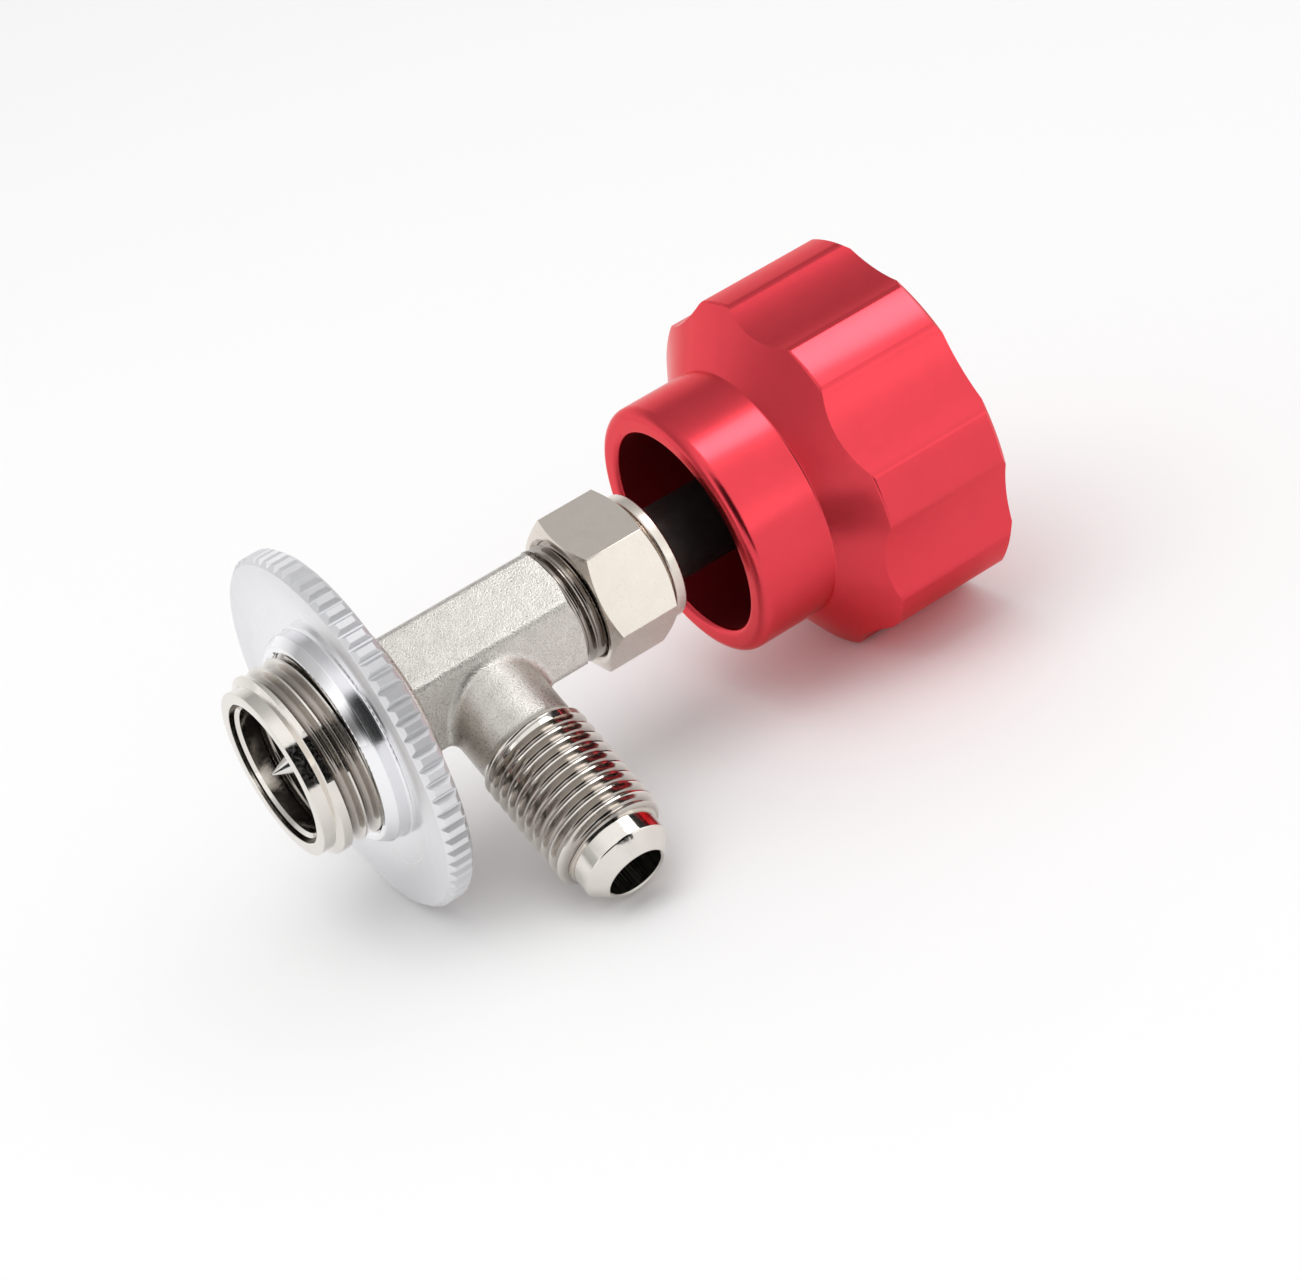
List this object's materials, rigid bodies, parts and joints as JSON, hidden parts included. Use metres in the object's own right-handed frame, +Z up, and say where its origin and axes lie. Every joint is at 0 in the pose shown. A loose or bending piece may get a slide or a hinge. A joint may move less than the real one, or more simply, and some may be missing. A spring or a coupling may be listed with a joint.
{
  "type": "refrigerant can tap",
  "caption": "Valve that screws on a refrigerant can, with a lock disc, a piercing needle, a side flare branch and a fluted knob.",
  "frame": {"origin": "centre of the can socket's mouth, in the plane of its front face", "axes": "+X along the valve's axis from the mouth to the knob, +Z up as the tap lies on a table on its lock disc, its knob and the nose of its flare branch, +Y away from the branch"},
  "size_m": [0.0716, 0.0428, 0.0368],
  "materials": {
    "nickel_brass": "blasted and nickel plated",
    "disc_aluminium": "turned and knurled",
    "rubber": "moulded",
    "needle_steel": "ground and polished",
    "black_steel": "turned and blackened",
    "o_ring_rubber": "moulded",
    "brass": "turned",
    "ptfe": "moulded",
    "nut_nickel": "machined and nickel plated",
    "red_anodised": "satin anodised",
    "zinc_steel": "zinc plated"
  },
  "bodies": {
    "valve": {"valve_body": "nickel_brass", "can_seal": "rubber", "packing_washer": "brass", "stem_packing": "ptfe", "gland_ring": "brass", "gland_nut": "nut_nickel"},
    "disc": {"lock_disc": "disc_aluminium"},
    "o_ring": {"spindle_o_ring": "o_ring_rubber"},
    "spindle": {"spindle": "black_steel", "piercing_needle": "needle_steel", "knob": "red_anodised", "knob_flat_washer": "zinc_steel", "knob_spring_washer": "zinc_steel", "knob_screw": "zinc_steel"}
  },
  "joints": [
    {"name": "disc_travel", "type": "slide", "parent": "valve", "child": "disc", "axis": [-1, 0, 0], "range_m": [0, 0.0052]},
    {"name": "spindle_travel", "type": "slide", "parent": "valve", "child": "o_ring", "axis": [1, 0, 0], "range_m": [-0.00201, 0.00601]},
    {"name": "knob_turn", "type": "hinge", "parent": "o_ring", "child": "spindle", "pos_m": [0, 0, 0], "axis": [1, 0, 0], "range_deg": [-720, 2160]}
  ],
  "couplings": [
    {"joint": "spindle_travel", "follows": "knob_turn", "m_per_rad": 0.00015915}
  ]
}
